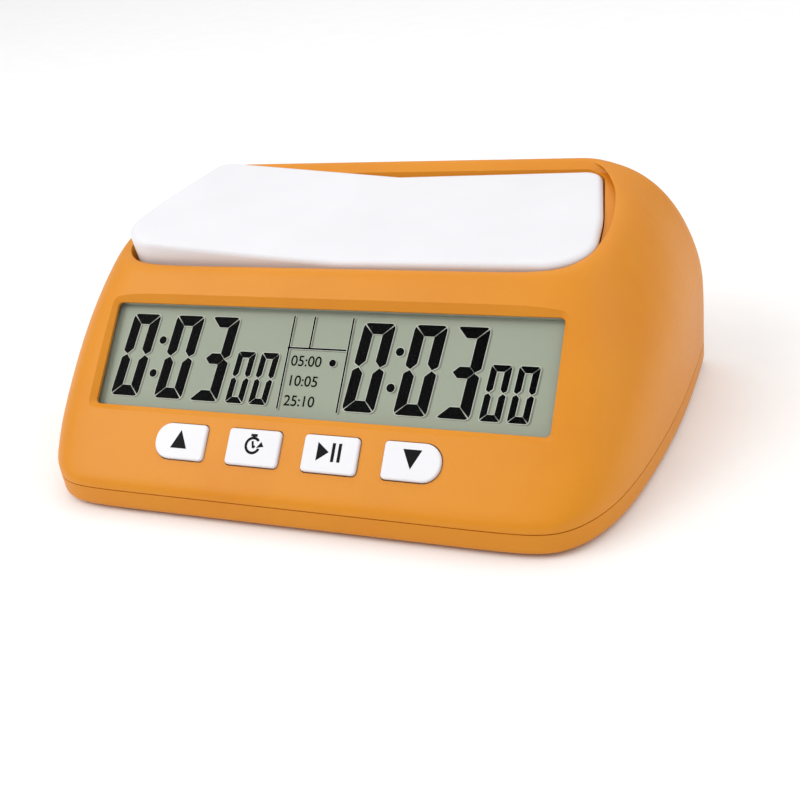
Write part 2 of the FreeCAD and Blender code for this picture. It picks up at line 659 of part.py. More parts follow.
# ---------------------------------------------------------------- display
def display():
    window = face_solid(
        rectangle(Dim.view_width - 2 * Dim.window_gap, Dim.view_height - 2 * Dim.window_gap, 1.0,
                  (Dim.view_x, Dim.view_centre)),
        -Dim.wall - Dim.gasket - Dim.window_flange, -Dim.recess_depth + 0.1, "WindowPlate",
    )
    flange_height = Dim.view_height + 2.8
    flange = face_plate(None, "{view_width} - 0.4", flange_height, Dim.view_centre, Dim.wall + Dim.gasket,
                        "{window_flange}", "WindowFlange")
    node(fuse([window, flange], "DisplayWindow"), "display_window")
    strips = []
    for side in (-1, 1):
        up = Dim.view_centre + side * (Dim.view_height / 2 + 0.75) - 0.55
        place = on_face(-Dim.view_width / 2 + 0.2, up, -Dim.wall - Dim.gasket)
        strips.append(box(("{view_width} - 0.4", 1.1, "{gasket}"), place, "Strip"))
    node(group(strips), "window_gasket")

    front = Dim.glass_front
    film = Dim.film_thickness
    centre = Dim.view_centre
    face_plate("front_polariser", "{glass_width} - 0.2", "{view_height} + 1.2", centre, front - film,
               "{film_thickness}")
    face_plate("lcd_glass_front", "{glass_width}", "{glass_height}", centre, front, "{glass_thickness}")
    rear_height = Dim.glass_height - 2 * Dim.glass_ledge
    rear = front + Dim.glass_thickness
    face_plate("lcd_glass_rear", "{glass_width}", rear_height, Dim.view_centre, rear, "{glass_thickness}")
    mirror = rear + Dim.glass_thickness
    face_plate("reflector_film", "{glass_width} - 1", rear_height - 1.0, centre, mirror, "{film_thickness}")

    strip_length = Dim.board_depth - rear
    zebras = []
    for side in (-1, 1):
        up = Dim.view_centre + side * (Dim.glass_height / 2 - 1.1) - 0.8
        zebras.append(box((100.0, 1.6, strip_length), on_face(-50.0, up, -Dim.board_depth), "Zebra"))
    node(group(zebras), "zebra_strips")

    frame_corners = rectangle(Dim.frame_width, Dim.frame_height, 3.6, (0, Dim.view_centre))
    outer = face_solid(frame_corners, -Dim.frame_back, -Dim.frame_front, "FrameOuter")
    glass_room = face_plate(None, Dim.glass_width + 0.4, Dim.glass_height + 0.4, Dim.view_centre,
                            Dim.frame_front - 1.0, mirror + 1.1 - Dim.frame_front, "GlassRoom")
    back_window = face_plate(None, Dim.glass_width - 6.0, rear_height - 3.0, centre, 4.0, 6.0, "BackWindow")
    film_room = face_plate(None, Dim.glass_width - 0.6, rear_height - 0.6, Dim.view_centre, 5.0,
                           mirror + film + 0.1 - 5.0, "FilmRoom")
    zebra_rooms = []
    for side in (-1, 1):
        up = Dim.view_centre + side * (Dim.glass_height / 2 - 1.1) - 1.0
        zebra_rooms.append(box((100.6, 2.0, 8.0), on_face(-50.3, up, -Dim.board_depth), "ZebraRoom"))
    post_length = Dim.board_depth - Dim.frame_back + 0.5
    posts = [rod(2.1, post_length, on_face(x, up, -Dim.board_depth)) for x, up in BOARD_POSTS]
    lugs = []
    for x, up in FRAME_LUGS:
        lugs.append(rod(2.9, LUG_THICKNESS, on_face(x, up, -LUG_BACK), "Lug"))
        lugs.append(box((5.0, 4.0, LUG_THICKNESS), on_face(x - 2.5, up, -LUG_BACK), "LugArm"))
    rooms = [glass_room, back_window, film_room] + zebra_rooms
    frame = cut(fuse([outer] + lugs, "FrameSolid"), rooms, "FrameOpen")
    hole_places = [on_face(x, up, -Dim.board_depth - 0.1) for x, up in BOARD_POSTS]
    holes = [rod("{small_shank}", 5.0, place, "PostHole") for place in hole_places]
    holes += [rod("{pilot_clear}", 4.0, on_face(x, up, -7.5), "LugHole") for x, up in FRAME_LUGS]
    holes.append(face_plate(None, Dim.glass_width - 0.6, rear_height - 0.6, centre, 4.0, 1.0, "Trim"))
    node(cut(fuse([frame] + posts, "FrameWhole"), holes, "LcdFrame"), "lcd_frame")
    screws = [screw(on_face(x, up, -LUG_BACK - 1.4), *SMALL_SCREW, 3.4, 1.4, 1.1) for x, up in FRAME_LUGS]
    node(group(screws), "frame_screws")


# ---------------------------------------------------------------- boards and what they carry
def boards():
    plate = face_plate(None, "{board_width}", "{board_height}", Dim.board_centre, Dim.board_depth,
                       "{board_thickness}", "BoardPlate")
    hole_places = [on_face(x, up, -BOARD_BACK - 1.0) for x, up in BOARD_POSTS]
    holes = [rod("{pilot_clear}", 4.0, place, "BoardHole") for place in hole_places]
    node(cut(plate, holes, "MainBoard"), "main_board")
    screw_places = [on_face(x, up, -BOARD_BACK - 1.2) for x, up in BOARD_POSTS]
    screws = [screw(place, *SMALL_SCREW, 4.6, 1.2, 1.1) for place in screw_places]
    node(group(screws), "main_board_screws")

    blob = made(Part.makeSphere(12.0, Vector(0, 0, 10.2), Vector(0, 0, 1)), "BlobBall")
    blob.Placement = on_face(-18.0, 32.0, -BOARD_BACK)
    below = face_plate(None, 40.0, 40.0, 32.0, BOARD_BACK, 3.0, "BlobHalf")
    below.Placement = on_face(-38.0, 12.0, -BOARD_BACK - 3.0)
    node(common([blob, below], "Blob"), "controller_blob")
    node(box((8.0, 3.2, 2.6), on_face(2.0, 36.0, -BOARD_BACK - 2.6)), "clock_crystal")
    spots = [(14.0, 24.0), (19.0, 24.0), (14.0, 29.0), (24.0, 33.0), (-36.0, 24.0), (-36.0, 29.0)]
    node(group([box((3.2, 1.6, 1.2), on_face(x, up, -BOARD_BACK - 1.2)) for x, up in spots]), "chip_parts")
    node(box((10.0, 5.0, 5.6), on_face(30.0, 20.0, -BOARD_BACK - 5.6)), "lead_connector")

    bodies, size = [], Dim.switch_size
    for i in range(4):
        place = on_face(key_x(i) - size / 2, Dim.key_centre - size / 2, -Dim.board_depth)
        block = box(("{switch_size}", "{switch_size}", 2.6), place, "SwitchBlock")
        bore = rod("{plunger_radius} + 0.05", 3.0, on_face(key_x(i), Dim.key_centre, -8.6), "SwitchBore")
        bodies.append(cut(block, [bore], "SwitchBody"))
    node(group(bodies), "key_switches")

    low = SWITCH_BOARD_TOP - Dim.board_thickness
    plate = box((90.0, 12.0, "{board_thickness}"), (-45.0, Dim.prong_y - 6.0, low), "SwitchPlate")
    holes = [rod("{pilot_clear}", 3.0, (x, y, low - 0.5), "BoardHole") for x, y in SWITCH_POSTS]
    node(cut(plate, holes, "SwitchBoard"), "switch_board")
    places = [Placement(Vector(x, y, low - 1.4), Rotation()) for x, y in SWITCH_POSTS]
    node(group([screw(p, *SMALL_SCREW, 5.0, 1.4, 1.1) for p in places]), "switch_board_screws")
    switches = []
    drop = Dim.prong_offset * math.sin(math.radians(Dim.rocker_tilt))
    for side in (-1, 1):
        x = side * Dim.prong_offset
        top = Dim.prong_end - drop - 0.25
        block = box((7.0, 7.0, 2.4), (x - 3.5, Dim.prong_y - 3.5, SWITCH_BOARD_TOP), "SideBlock")
        foot = SWITCH_BOARD_TOP + 2.2
        button = cone(2.6, 2.0, top - foot, (x, Dim.prong_y, foot), "Dome")
        switches.append(fuse([block, button], "SideSwitch"))
    node(group(switches), "side_switches")


def keys():
    for i, name in enumerate(("up", "mode", "play", "down")):
        cap = face_solid(key_outline(i), -3.6, Dim.key_proud, "KeyCap")
        cap_round = fillet(cap, 0.45, lambda e: is_on_plane(e, Dim.key_proud))
        flange = face_solid(key_outline(i, Dim.key_flange), -3.6, -2.35, "KeyFlange")
        stem = rod(2.0, 2.1, on_face(key_x(i), Dim.key_centre, -5.6), "KeyStem")
        node(fuse([cap_round, flange, stem], "Key"), "key_" + name)
        plunger = rod("{plunger_radius}", 2.4, on_face(key_x(i), Dim.key_centre, -8.0), "Plunger")
        node(plunger, "plunger_" + name)


def is_on_plane(edge, out):
    """Whether an edge lies a given height out of the sloped face."""
    inverse = FACE.inverse()
    return all(abs(inverse.multVec(v.Point).z - out) < 1e-3 for v in edge.Vertexes)


# ---------------------------------------------------------------- rocker and axle
def rocker_solid(inset, edge_radius=0.0):
    """The rocker's outside, or with an inset its inside: two mirrored halves meet in a shallow valley."""
    rise = 80.0 * math.tan(math.radians(Dim.rocker_half_rise))
    lean = math.tan(math.radians(Dim.rocker_incline))
    start, run = -10.0, 60.0
    low = Dim.rocker_height - inset + (start + 5.0) * lean
    points = [(-80, low - rise), (-80, 20), (80, 20), (80, low + rise)]
    wire = Part.makePolygon([Vector(x, start, z) for x, z in points + points[:1]])
    under = Part.Face(wire).extrude(Vector(0, run, run * lean))
    bottom = Dim.rocker_skirt - (2.0 if inset else 0.0)
    solid = flared(-inset, bottom, 60.0).common(under).Solids[0]
    if edge_radius:
        upper = [e for e in solid.Edges if e.BoundBox.ZMin > bottom + 0.5]
        solid = solid.makeFillet(edge_radius, upper)
    right = solid.common(Part.makeBox(80, 80, 60, Vector(0, -20, 20))).Solids[0]
    left = right.mirror(Vector(), Vector(1, 0, 0))
    return right.fuse(left).removeSplitter().Solids[0]


def rocker():
    soft = made(rocker_solid(0.0, Dim.rocker_edge), "RockerOutside")
    inside = made(rocker_solid(Dim.rocker_wall), "RockerInside")
    hollow = cut(soft, [inside], "RockerShell")
    tops = made(rocker_solid(Dim.rocker_wall - 0.3), "RockerTrim")
    parts = []
    for y in ROCKER_LUGS:
        parts.append(rod(3.0, 2.6, Placement(Vector(0, y, Dim.axle_height), UPRIGHT_Y), "LugEye"))
        parts.append(box((6.0, 2.6, 12.0), (-3.0, y, Dim.axle_height), "LugPlate"))
    for side in (-1, 1):
        prong_place = (side * Dim.prong_offset, Dim.prong_y, Dim.prong_end)
        parts.append(rod("{prong_radius}", 20.0, prong_place, "Prong"))
    ribs = [box((1.2, 50.0, 2.5), (x, -8.0, 45.5), "Rib") for x in (-46.0, -20.0, 18.8, 44.8)]
    below = box((80.0, 30.0, 14.0), (-40.0, 4.0, 30.0))
    room = common([fuse(parts, "RockerInner"), fuse([tops, below])], "Legs")
    stiff = common([fuse(ribs, "Ribs"), made(rocker_solid(Dim.rocker_wall - 0.2), "RibTrim")], "Stiffeners")
    whole = fuse([hollow, room, stiff], "RockerWhole")
    bore_start = Placement(Vector(0, 1.0, Dim.axle_height), UPRIGHT_Y)
    bore = rod("{axle_radius} + {axle_clearance}", 44.0, bore_start, "AxleBore")
    turned = node(cut(whole, [bore], "Rocker"), "rocker")
    pivot = Vector(0, 0, Dim.axle_height)
    turned.Placement = Placement(Vector(), Rotation(Vector(0, 1, 0), Dim.rocker_tilt), pivot)
    start = Placement(Vector(0, 0.4, Dim.axle_height), UPRIGHT_Y)
    node(rod("{axle_radius}", "{axle_length}", start, "Axle"), "rocker_axle")


# ---------------------------------------------------------------- cell, contacts, buzzer and leads
def power():
    start = -Dim.cell_length / 2
    along = Placement(Vector(start, Dim.cell_y, Dim.cell_z), UPRIGHT_X)
    can = rod("{cell_radius}", "{cell_length}", along, "CellCan")
    nub = rod(2.7, 1.2, Placement(Vector(-start - 0.1, Dim.cell_y, Dim.cell_z), UPRIGHT_X), "CellNub")
    node(fuse([can, nub], "Cell"), "aa_cell")
    plus_x = -start + 1.1
    plate = box((0.5, 11.0, 12.0), (plus_x, Dim.cell_y - 5.5, 4.2), "PlusPlate")
    tab = box((31.0 - plus_x, 3.0, 0.5), (plus_x, Dim.cell_y - 1.5, 15.7), "PlusTab")
    node(fuse([plate, tab], "PlusContact"), "positive_contact")
    wall_x = -31.0
    base = box((0.5, 11.0, 12.0), (wall_x, Dim.cell_y - 5.5, 4.2), "MinusPlate")
    reach = start - wall_x - 0.5
    helix = Part.makeHelix((reach - 0.8) / 3.0, reach - 0.8, 3.6)
    section = Part.Wire([Part.makeCircle(0.4, Vector(3.6, 0, 0), Vector(0, 1, 0))])
    coil = made(Part.Wire(helix).makePipeShell([section], True, True), "Coil")
    coil.Placement = Placement(Vector(wall_x + 0.75, Dim.cell_y, Dim.cell_z), UPRIGHT_X)
    node(fuse([base, coil], "MinusContact"), "negative_spring")

    x, y = BUZZER
    floor = Dim.foot_height + Dim.floor_thickness
    rim_room = rod("{buzzer_radius} + 0.1", 3.0, (x, y, floor + 1.4), "RimRoom")
    middle_room = rod("{buzzer_radius} - 1.4", 4.0, (x, y, floor - 0.5), "MiddleRoom")
    shelf = cut(rod("{buzzer_radius} + 2", 2.8, (x, y, floor), "Shelf"), [middle_room, rim_room])
    node(shelf, "buzzer_holder")
    node(rod("{buzzer_radius}", "{buzzer_thickness}", (x, y, floor + 1.4), "BuzzerDisc"), "buzzer_disc")


def leads():
    """Insulated leads, each soldered at both ends: they end on the faces that they touch."""
    touch = 0.02

    def at(x, up, depth):
        return tuple(on_face(x, up, -depth).Base)

    plug_back = BOARD_BACK + 5.6 + touch
    plug = [at(34.5, 22.5, plug_back + 6.0), at(34.5, 22.5, plug_back)]
    y, z = LEAD_Y[1], LEAD_Z[1]
    run = [(31.0 + touch, y, z), (38.0, y, z), (38.0, -3.0, 12.0)]
    node(tube(run + plug, Dim.lead_radius), "battery_lead_red")
    plug = [at(31.5, 22.5, plug_back + 6.0), at(31.5, 22.5, plug_back)]
    y, z = LEAD_Y[-1], LEAD_Z[-1]
    run = [(-31.0 - touch, y, z), (-38.0, y, z), (-38.0, -4.0, z), (26.0, -7.0, 13.0)]
    node(tube(run + plug, Dim.lead_radius), "battery_lead_black")
    thin = Dim.thin_lead_radius
    board_back = BOARD_BACK + touch
    low = SWITCH_BOARD_TOP - Dim.board_thickness - touch
    ribbon = []
    for x in (4.0, 6.0, 8.0):
        run = [(x, 10.5, low), (x, 10.5, 20.0), at(x, 28.0, 18.0), at(x, 28.0, board_back)]
        ribbon.append(tube(run, thin))
    node(group(ribbon), "switch_leads")
    x, y = BUZZER
    disc_top = Dim.foot_height + Dim.floor_thickness + 2.0 + touch
    pair = []
    for shift in (-2.0, 3.0):
        side = x + shift
        run = [(side, y, disc_top), (side, y, 12.0), at(side, 24.0, 17.5), at(side, 24.0, board_back)]
        pair.append(tube(run, thin))
    node(group(pair), "buzzer_leads")


print("building")
housing()
bottom_cover()
battery_door()
rubber_feet()
base_screws()
display()
boards()
keys()
rocker()
power()
leads()

# ---------------------------------------------------------------- check and export
DOC.recompute()
for obj in DOC.Objects:
    if "Invalid" in obj.State or "Error" in obj.State:
        raise RuntimeError("%s (%s) did not recompute" % (obj.Name, obj.Label))
for label, obj in NODES.items():
    if obj.Shape.isNull() or not obj.Shape.isValid() or not obj.Shape.Solids:
        raise RuntimeError("sub-part %s is not a valid solid" % label)

os.makedirs("parts", exist_ok=True)
for label, obj in NODES.items():
    obj.Shape.exportStep("parts/%s.step" % label)
    bounds = obj.Shape.BoundBox
    print("%-20s %d solid(s) %9.1f mm3  z %.2f..%.2f" % (
        label, len(obj.Shape.Solids), obj.Shape.Volume, bounds.ZMin, bounds.ZMax))
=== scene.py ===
"""Looks of the digital chess clock: plastics, liquid-crystal figures, key symbols, floor and light."""
import math
import bmesh
import bpy
from mathutils import Matrix, Vector


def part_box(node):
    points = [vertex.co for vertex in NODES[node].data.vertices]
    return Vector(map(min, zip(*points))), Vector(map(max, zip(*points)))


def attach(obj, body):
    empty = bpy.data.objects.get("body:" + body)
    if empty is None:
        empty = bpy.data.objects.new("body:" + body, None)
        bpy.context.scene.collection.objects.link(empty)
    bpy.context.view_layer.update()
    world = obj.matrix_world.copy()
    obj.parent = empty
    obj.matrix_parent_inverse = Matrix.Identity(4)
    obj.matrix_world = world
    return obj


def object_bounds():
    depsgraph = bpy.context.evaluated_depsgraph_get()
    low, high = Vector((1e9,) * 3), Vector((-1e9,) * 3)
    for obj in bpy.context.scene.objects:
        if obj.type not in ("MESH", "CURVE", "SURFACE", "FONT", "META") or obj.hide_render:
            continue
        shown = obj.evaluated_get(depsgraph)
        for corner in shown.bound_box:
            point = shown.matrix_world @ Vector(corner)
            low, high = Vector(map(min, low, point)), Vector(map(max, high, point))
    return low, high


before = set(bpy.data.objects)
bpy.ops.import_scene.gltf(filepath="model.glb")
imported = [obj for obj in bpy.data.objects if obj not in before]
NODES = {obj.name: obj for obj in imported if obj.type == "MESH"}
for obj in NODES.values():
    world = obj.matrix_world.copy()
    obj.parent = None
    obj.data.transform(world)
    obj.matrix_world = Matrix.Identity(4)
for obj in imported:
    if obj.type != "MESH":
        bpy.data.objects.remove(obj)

CAD_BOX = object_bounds()
MM = 0.001
FACE_SLOPE = math.radians(45.0)

# ---------------------------------------------------------------- colours, as linear light
ORANGE = (0.702, 0.254, 0.006)
ORANGE_DEEP = (0.678, 0.233, 0.005)
WHITE = (0.79, 0.785, 0.815)
SAGE = (0.365, 0.395, 0.315)
# Painted light: the next colour is a painted shadow and the one after it a painted halo of light, both
# round the display's figures.
SAGE_PAINTED_SHADOW = (0.23, 0.24, 0.195)
SAGE_PAINTED_HALO = (0.62, 0.64, 0.57)
INK = (0.0015, 0.0015, 0.0018)
STEEL = (0.62, 0.62, 0.64)
NICKEL = (0.72, 0.70, 0.66)
BRASS = (0.70, 0.50, 0.18)
BOARD_GREEN = (0.02, 0.16, 0.06)
BLACK_PLASTIC = (0.02, 0.02, 0.022)
RED_WIRE = (0.5, 0.02, 0.015)
RED_WIRE_DEEP = (0.4, 0.012, 0.01)
GREY_WIRE = (0.32, 0.32, 0.34)
GREY_WIRE_DEEP = (0.26, 0.26, 0.28)
IVORY = (0.78, 0.74, 0.62)
IVORY_DEEP = (0.72, 0.67, 0.54)
RUBBER_DARK = (0.012, 0.012, 0.012)
RUBBER_PALE = (0.035, 0.034, 0.033)
COPPER_BAND = (0.55, 0.25, 0.08)
PAPER_DARK = (0.93, 0.93, 0.93)
PAPER_PALE = (0.95, 0.95, 0.95)
PURE_WHITE = (1.0, 1.0, 1.0)
WARM_WHITE = (1.0, 0.99, 0.97)


# ---------------------------------------------------------------- node materials
class Shader:
    """A material being built: keeps the tree, its principled shader and object coordinates."""

    def __init__(self, name):
        self.material = bpy.data.materials.new(name)
        self.material.use_nodes = True
        self.tree = self.material.node_tree
        self.nodes = self.tree.nodes
        self.principled = self.nodes["Principled BSDF"]
        self.output = self.nodes["Material Output"]
        self.place = self.nodes.new("ShaderNodeTexCoord").outputs["Object"]

    def link(self, source, target):
        self.tree.links.new(source, target)

    def noise(self, scale, detail=3.0, roughness=0.55):
        node = self.nodes.new("ShaderNodeTexNoise")
        node.inputs["Scale"].default_value = scale
        node.inputs["Detail"].default_value = detail
        node.inputs["Roughness"].default_value = roughness
        self.link(self.place, node.inputs["Vector"])
        return node.outputs["Fac"]

    def cells(self, scale):
        node = self.nodes.new("ShaderNodeTexVoronoi")
        node.inputs["Scale"].default_value = scale
        self.link(self.place, node.inputs["Vector"])
        return node.outputs["Distance"]

    def ramp(self, source, stops):
        """Maps a value to colours: stops are (position, colour)."""
        node = self.nodes.new("ShaderNodeValToRGB")
        elements = node.color_ramp.elements
        while len(elements) < len(stops):
            elements.new(0.5)
        for element, (position, colour) in zip(elements, stops):
            element.position = position
            element.color = (*colour, 1.0)
        self.link(source, node.inputs["Fac"])
        return node.outputs["Color"]

    def span(self, source, low, high):
        """Maps a value from 0 to 1 to a range."""
        node = self.nodes.new("ShaderNodeMapRange")
        node.inputs["To Min"].default_value = low
        node.inputs["To Max"].default_value = high
        self.link(source, node.inputs["Value"])
        return node.outputs["Result"]

    def bump(self, height, distance, strength, before=None):
        """A bump of a depth in metres, on top of an earlier one if there is one."""
        node = self.nodes.new("ShaderNodeBump")
        node.inputs["Distance"].default_value = distance
        node.inputs["Strength"].default_value = strength
        self.link(height, node.inputs["Height"])
        if before is not None:
            self.link(before, node.inputs["Normal"])
        return node.outputs["Normal"]

    def set(self, **values):
        """Gives the principled shader's inputs a value or a link."""
        for name, value in values.items():
            socket = self.principled.inputs[name.replace("_", " ")]
            if isinstance(value, bpy.types.NodeSocket):
                self.link(value, socket)
            else:
                socket.default_value = value


def tint(colour, factor):
    return tuple(min(1.0, channel * factor) for channel in colour)


def moulded_plastic(name, colour, deep, roughness, grain_scale, grain_depth):
    """Satin moulded plastic: a fine spark-eroded grain, faint flow mottling and uneven gloss."""
    shader = Shader(name)
    mottle = shader.noise(38.0, 4.0)
    shader.set(Base_Color=shader.ramp(mottle, [(0.30, deep), (0.52, colour), (0.75, tint(colour, 1.03))]))
    shader.set(Roughness=shader.span(shader.noise(900.0, 2.0), roughness - 0.05, roughness + 0.07))
    grain = shader.bump(shader.cells(grain_scale), grain_depth, 0.5)
    shader.set(Normal=shader.bump(shader.noise(grain_scale * 0.4, 2.0), grain_depth * 1.4, 0.5, grain))
    shader.set(Specular_IOR_Level=0.35)
    return shader.material


def orange_plastic():
    return moulded_plastic("orange_satin_abs", ORANGE, ORANGE_DEEP, 0.44, 3400.0, 0.000018)


def cover_plastic():
    return moulded_plastic("orange_cover_abs", tint(ORANGE, 0.97), ORANGE_DEEP, 0.48, 2900.0, 0.000022)


def white_plastic():
    return moulded_plastic("white_satin_abs", WHITE, tint(WHITE, 0.975), 0.36, 4200.0, 0.000010)


def black_plastic():
    return moulded_plastic("black_abs", BLACK_PLASTIC, tint(BLACK_PLASTIC, 0.7), 0.5, 2600.0, 0.00003)


def red_insulation():
    return moulded_plastic("red_insulation", RED_WIRE, RED_WIRE_DEEP, 0.35, 1500.0, 0.00001)


def grey_insulation():
    return moulded_plastic("grey_insulation", GREY_WIRE, GREY_WIRE_DEEP, 0.4, 1500.0, 0.00001)


def ivory_nylon():
    return moulded_plastic("ivory_nylon", IVORY, IVORY_DEEP, 0.45, 2600.0, 0.00002)


def display_sage():
    """The panel's reflector seen through its polariser: pale grey green with a fine even tooth."""
    shader = Shader("display_sage")
    broad = shader.noise(22.0, 2.0)
    fine = shader.noise(5200.0, 1.0)
    mix = shader.nodes.new("ShaderNodeMix")
    mix.inputs["Factor"].default_value = 0.35
    shader.link(broad, mix.inputs["A"])
    shader.link(fine, mix.inputs["B"])
    stops = [(0.3, tint(SAGE, 0.95)), (0.5, SAGE), (0.72, tint(SAGE, 1.04))]
    shader.set(Base_Color=shader.ramp(mix.outputs["Result"], stops), Roughness=0.6)
    shader.set(Normal=shader.bump(fine, 0.000006, 0.4), Specular_IOR_Level=0.25)
    return shader.material


def display_tone(name, colour, roughness):
    """A printed or switched tone on the panel, slightly uneven as liquid crystal is; it also makes the
    painted shadow and the painted halo of light round the figures.
    """
    shader = Shader(name)
    uneven = shader.noise(420.0, 2.0)
    shader.set(Base_Color=shader.ramp(uneven, [(0.3, tint(colour, 0.9)), (0.7, tint(colour, 1.08))]))
    shader.set(Roughness=shader.span(uneven, roughness - 0.06, roughness + 0.06))
    shader.set(Specular_IOR_Level=0.0)
    return shader.material


def printed_ink():
    """Pad-printed ink: black, thin, with a slightly ragged gloss."""
    shader = Shader("printed_ink")
    shader.set(Base_Color=shader.ramp(shader.noise(2600.0), [(0.3, INK), (0.75, tint(INK, 2.2))]))
    shader.set(Roughness=shader.span(shader.noise(1800.0), 0.34, 0.52))
    shader.set(Normal=shader.bump(shader.noise(5200.0, 1.0), 0.000006, 0.5), Specular_IOR_Level=0.08)
    return shader.material


def clear_window():
    """Clear acrylic: what is behind shows, with a faint sheen and the finest hairlines in it."""
    shader = Shader("clear_acrylic")
    clear = shader.nodes.new("ShaderNodeBsdfTransparent")
    clear.inputs["Color"].default_value = (0.985, 0.99, 0.985, 1.0)
    gloss = shader.nodes.new("ShaderNodeBsdfGlossy")
    hairlines = shader.noise(300.0, 3.0, 0.6)
    shader.link(shader.span(hairlines, 0.12, 0.2), gloss.inputs["Roughness"])
    fresnel = shader.nodes.new("ShaderNodeFresnel")
    fresnel.inputs["IOR"].default_value = 1.06
    mix = shader.nodes.new("ShaderNodeMixShader")
    shader.link(fresnel.outputs["Fac"], mix.inputs["Fac"])
    shader.link(clear.outputs["BSDF"], mix.inputs[1])
    shader.link(gloss.outputs["BSDF"], mix.inputs[2])
    shader.link(mix.outputs["Shader"], shader.output.inputs["Surface"])
    return shader.material


def metal(name, colour, roughness):
    """Plated or drawn metal with fine streaks along one way and a little tarnish."""
    shader = Shader(name)
    stretch = shader.nodes.new("ShaderNodeMapping")
    stretch.inputs["Scale"].default_value = (1.0, 0.08, 1.0)
    shader.link(shader.place, stretch.inputs["Vector"])
    shader.place = stretch.outputs["Vector"]
    streaks = shader.noise(2400.0, 3.0)
    shader.set(Base_Color=shader.ramp(streaks, [(0.3, tint(colour, 0.82)), (0.7, colour)]), Metallic=1.0)
    shader.set(Roughness=shader.span(streaks, roughness - 0.08, roughness + 0.12))
    shader.set(Normal=shader.bump(streaks, 0.000008, 0.5))
    return shader.material


def pale_foam():
    """Closed-cell adhesive foam, pale grey green, with open cut cells."""
    shader = Shader("pale_foam")
    cells = shader.cells(2600.0)
    shader.set(Base_Color=shader.ramp(cells, [(0.1, tint(SAGE, 0.7)), (0.6, SAGE)]), Roughness=0.9)
    shader.set(Normal=shader.bump(cells, 0.00003, 0.6))
    return shader.material


def rubber():
    """Matte black rubber with fine pale specks."""
    shader = Shader("black_rubber")
    speck = shader.noise(1700.0, 4.0)
    shader.set(Base_Color=shader.ramp(speck, [(0.35, RUBBER_DARK), (0.8, RUBBER_PALE)]))
    shader.set(Roughness=shader.span(speck, 0.68, 0.9), Normal=shader.bump(speck, 0.00004, 0.6))
    return shader.material


def circuit_board():
    """Solder mask over copper: a grid of slightly paler tracks under green."""
    shader = Shader("circuit_board")
    tracks = shader.nodes.new("ShaderNodeTexBrick")
    tracks.inputs["Scale"].default_value = 260.0
    tracks.inputs["Mortar Size"].default_value = 0.06
    tracks.inputs["Color1"].default_value = (*BOARD_GREEN, 1.0)
    tracks.inputs["Color2"].default_value = (*tint(BOARD_GREEN, 0.8), 1.0)
    tracks.inputs["Mortar"].default_value = (*tint(BOARD_GREEN, 1.9), 1.0)
    shader.link(shader.place, tracks.inputs["Vector"])
    shader.set(Base_Color=tracks.outputs["Color"])
    shader.set(Roughness=shader.span(shader.noise(600.0), 0.25, 0.45))
    shader.set(Normal=shader.bump(tracks.outputs["Fac"], 0.00003, 0.5))
    return shader.material


def cell_sleeve():
    """The cell's shrink sleeve: dark with a copper band towards its raised end."""
    shader = Shader("cell_sleeve")
    axes = shader.nodes.new("ShaderNodeSeparateXYZ")
    shader.link(shader.place, axes.inputs["Vector"])
    low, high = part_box("aa_cell")
    along = shader.nodes.new("ShaderNodeMapRange")
    along.inputs["From Min"].default_value = low[0]
    along.inputs["From Max"].default_value = high[0]
    shader.link(axes.outputs["X"], along.inputs["Value"])
    bands = [
        (0.02, NICKEL), (0.03, BLACK_PLASTIC), (0.70, BLACK_PLASTIC), (0.71, COPPER_BAND), (0.97, NICKEL),
    ]
    colour = shader.ramp(along.outputs["Result"], bands)
    colour.node.color_ramp.interpolation = "CONSTANT"
    shader.set(Base_Color=colour, Roughness=shader.span(shader.noise(500.0), 0.22, 0.36))
    shader.set(Normal=shader.bump(shader.noise(300.0), 0.00004, 0.3))
    return shader.material


def dress(material, *names):
    """Gives CAD nodes their material."""
    for name in names:
        slots = NODES[name].data.materials
        slots.clear()
        slots.append(material)


INK_PRINT = printed_ink()
SEGMENT_TONE = display_tone("segment_on", INK, 0.5)
# Painted shadow and painted halo of light round the display's segments, then the segments' own tone above.
PAINTED_SHADOW_TONE = display_tone("segment_painted_shadow", SAGE_PAINTED_SHADOW, 0.65)
PAINTED_HALO_TONE = display_tone("segment_painted_halo", SAGE_PAINTED_HALO, 0.65)

KEY_NAMES = ("up", "mode", "play", "down")
SCREWS = ("base_screws", "frame_screws", "main_board_screws", "switch_board_screws")
dress(orange_plastic(), "upper_housing")
dress(cover_plastic(), "bottom_cover", "battery_door")
dress(white_plastic(), "rocker", *["key_" + name for name in KEY_NAMES])
dress(black_plastic(), "lcd_frame", "key_switches", "buzzer_holder", "side_switches", "controller_blob",
      "battery_lead_black", *["plunger_" + name for name in KEY_NAMES])
dress(red_insulation(), "battery_lead_red")
dress(grey_insulation(), "switch_leads", "buzzer_leads")
dress(ivory_nylon(), "lead_connector", "chip_parts")
dress(display_sage(), "front_polariser", "reflector_film")
dress(clear_window(), "display_window", "lcd_glass_front", "lcd_glass_rear")
dress(rubber(), "rubber_feet", "zebra_strips")
dress(pale_foam(), "window_gasket")
dress(metal("zinc_screws", STEEL, 0.34), "rocker_axle", *SCREWS)
dress(metal("nickel_plate", NICKEL, 0.24), "positive_contact", "negative_spring", "clock_crystal")
dress(metal("brass_disc", BRASS, 0.3), "buzzer_disc")
dress(circuit_board(), "main_board", "switch_board")
dress(cell_sleeve(), "aa_cell")


# ---------------------------------------------------------------- the sloped face's own frame
ACROSS = Vector((1, 0, 0))
UP = Vector((0, math.cos(FACE_SLOPE), math.sin(FACE_SLOPE)))
OUT = Vector((0, -math.sin(FACE_SLOPE), math.cos(FACE_SLOPE)))
FACE_FRAME = Matrix((ACROSS, UP, OUT)).transposed().to_4x4()


